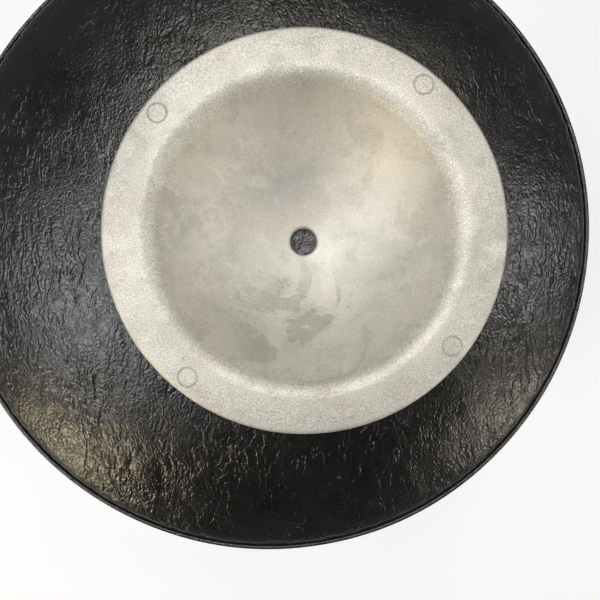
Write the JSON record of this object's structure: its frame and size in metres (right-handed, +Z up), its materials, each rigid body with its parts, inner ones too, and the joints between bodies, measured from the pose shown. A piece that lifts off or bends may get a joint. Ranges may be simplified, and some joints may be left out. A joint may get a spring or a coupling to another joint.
{
  "type": "drum throne",
  "caption": "Round padded seat on a telescoping post and a folding double-braced tripod, with a loose cast dish lying on the seat.",
  "frame": {"origin": "centre of the footprint box on the floor; the post's axis stands at x = 0, y = 53.1 mm", "axes": "+Z up along the post; one leg points to -Y and the other two to +X and -X, 30 degrees towards +Y"},
  "size_m": [0.4962, 0.4622, 0.5329],
  "materials": {
    "black_vinyl": "embossed PVC cover cloth, satin, broken in",
    "cast_aluminium": "die cast, tumbled, unpainted",
    "chromed_steel": "bright plated",
    "zinc_steel": "zinc plated",
    "die_cast_zinc": "die cast, plated satin",
    "black_steel": "black powder coat",
    "black_nylon": "moulded",
    "black_rubber": "moulded",
    "polyether_foam": "cut foam",
    "birch_plywood": "unvarnished plywood",
    "spunbond_cloth": "spunbond polyester"
  },
  "bodies": {
    "base": {"lower_tube": "chromed_steel", "post_bush": "black_nylon", "tube_plug": "black_nylon", "tube_clamp": "die_cast_zinc", "clamp_nut": "zinc_steel", "lower_collar": "die_cast_zinc", "lower_collar_screw": "black_steel", "brace_pin_1": "zinc_steel", "brace_pin_2": "zinc_steel", "brace_pin_3": "zinc_steel"},
    "clamp_wing": {"clamp_wing_bolt": "zinc_steel"},
    "leg_collar": {"leg_collar": "die_cast_zinc", "leg_pin_1": "zinc_steel", "leg_pin_2": "zinc_steel", "leg_pin_3": "zinc_steel"},
    "collar_wing": {"collar_wing_bolt": "zinc_steel"},
    "post": {"post": "chromed_steel", "post_cap": "black_nylon", "memory_lock": "die_cast_zinc", "memory_lock_screw": "zinc_steel"},
    "seat": {"top_panel": "black_vinyl", "side_band": "black_vinyl", "top_welt": "black_vinyl", "foam_pad": "polyether_foam", "seat_board": "birch_plywood", "dust_cover": "spunbond_cloth", "seat_bracket": "black_steel", "bracket_bolt_1": "zinc_steel", "bracket_bolt_2": "zinc_steel", "bracket_bolt_3": "zinc_steel", "bracket_bolt_4": "zinc_steel", "tee_nut_1": "zinc_steel", "tee_nut_2": "zinc_steel", "tee_nut_3": "zinc_steel", "tee_nut_4": "zinc_steel"},
    "seat_wing": {"seat_wing_bolt": "zinc_steel"},
    "dish": {"cast_dish": "cast_aluminium"},
    "brace_1": {"brace_1_left": "chromed_steel", "brace_1_right": "chromed_steel"},
    "leg_1": {"leg_1_left": "chromed_steel", "leg_1_right": "chromed_steel", "middle_pin_1": "zinc_steel", "foot_1": "black_rubber", "foot_pin_1": "zinc_steel"},
    "brace_2": {"brace_2_left": "chromed_steel", "brace_2_right": "chromed_steel"},
    "leg_2": {"leg_2_left": "chromed_steel", "leg_2_right": "chromed_steel", "middle_pin_2": "zinc_steel", "foot_2": "black_rubber", "foot_pin_2": "zinc_steel"},
    "brace_3": {"brace_3_left": "chromed_steel", "brace_3_right": "chromed_steel"},
    "leg_3": {"leg_3_left": "chromed_steel", "leg_3_right": "chromed_steel", "middle_pin_3": "zinc_steel", "foot_3": "black_rubber", "foot_pin_3": "zinc_steel"}
  },
  "joints": [
    {"name": "tripod_fold", "type": "hinge", "parent": "base", "child": "brace_1", "pos_m": [0, 0.02115, 0.045], "axis": [-1, 0, 0], "range_deg": [0, 54]},
    {"name": "leg_1_fold", "type": "hinge", "parent": "brace_1", "child": "leg_1", "pos_m": [0, -0.07845, 0.1025], "axis": [1, 0, 0], "range_deg": [0, 108]},
    {"name": "brace_2_fold", "type": "hinge", "parent": "base", "child": "brace_2", "pos_m": [0.02771, 0.06915, 0.045], "axis": [0.5, -0.866, 0], "range_deg": [0, 54]},
    {"name": "leg_2_fold", "type": "hinge", "parent": "brace_2", "child": "leg_2", "pos_m": [0.11396, 0.11894, 0.1025], "axis": [-0.5, 0.866, 0], "range_deg": [0, 108]},
    {"name": "brace_3_fold", "type": "hinge", "parent": "base", "child": "brace_3", "pos_m": [-0.02771, 0.06915, 0.045], "axis": [0.5, 0.866, 0], "range_deg": [0, 54]},
    {"name": "leg_3_fold", "type": "hinge", "parent": "brace_3", "child": "leg_3", "pos_m": [-0.11396, 0.11894, 0.1025], "axis": [-0.5, -0.866, 0], "range_deg": [0, 108]},
    {"name": "collar_level", "type": "hinge", "parent": "leg_1", "child": "leg_collar", "pos_m": [0, 0.02115, 0.16], "axis": [-1, 0, 0], "range_deg": [0, 54]},
    {"name": "collar_wing_turn", "type": "hinge", "parent": "leg_collar", "child": "collar_wing", "pos_m": [0, 0.08315, 0.16], "axis": [0, 1, 0], "continuous": true},
    {"name": "clamp_wing_turn", "type": "hinge", "parent": "base", "child": "clamp_wing", "pos_m": [0.031, 0.04315, 0.32], "axis": [0, -1, 0], "continuous": true},
    {"name": "post_height", "type": "slide", "parent": "base", "child": "post", "axis": [0, 0, 1], "range_m": [0, 0.1]},
    {"name": "seat_swivel", "type": "hinge", "parent": "post", "child": "seat", "pos_m": [0, 0.05315, 0.385], "axis": [0, 0, 1], "continuous": true},
    {"name": "seat_wing_turn", "type": "hinge", "parent": "seat", "child": "seat_wing", "pos_m": [-0.026, 0.05315, 0.3793], "axis": [-1, 0, 0], "continuous": true},
    {"name": "dish_lift", "type": "slide", "parent": "seat", "child": "dish", "axis": [0, 0, 1], "range_m": [0, 0.25]}
  ],
  "couplings": [
    {"joint": "leg_1_fold", "follows": "tripod_fold", "ratio": 2},
    {"joint": "brace_2_fold", "follows": "tripod_fold", "ratio": 1},
    {"joint": "leg_2_fold", "follows": "tripod_fold", "ratio": 2},
    {"joint": "brace_3_fold", "follows": "tripod_fold", "ratio": 1},
    {"joint": "leg_3_fold", "follows": "tripod_fold", "ratio": 2},
    {"joint": "collar_level", "follows": "tripod_fold", "ratio": 1}
  ]
}
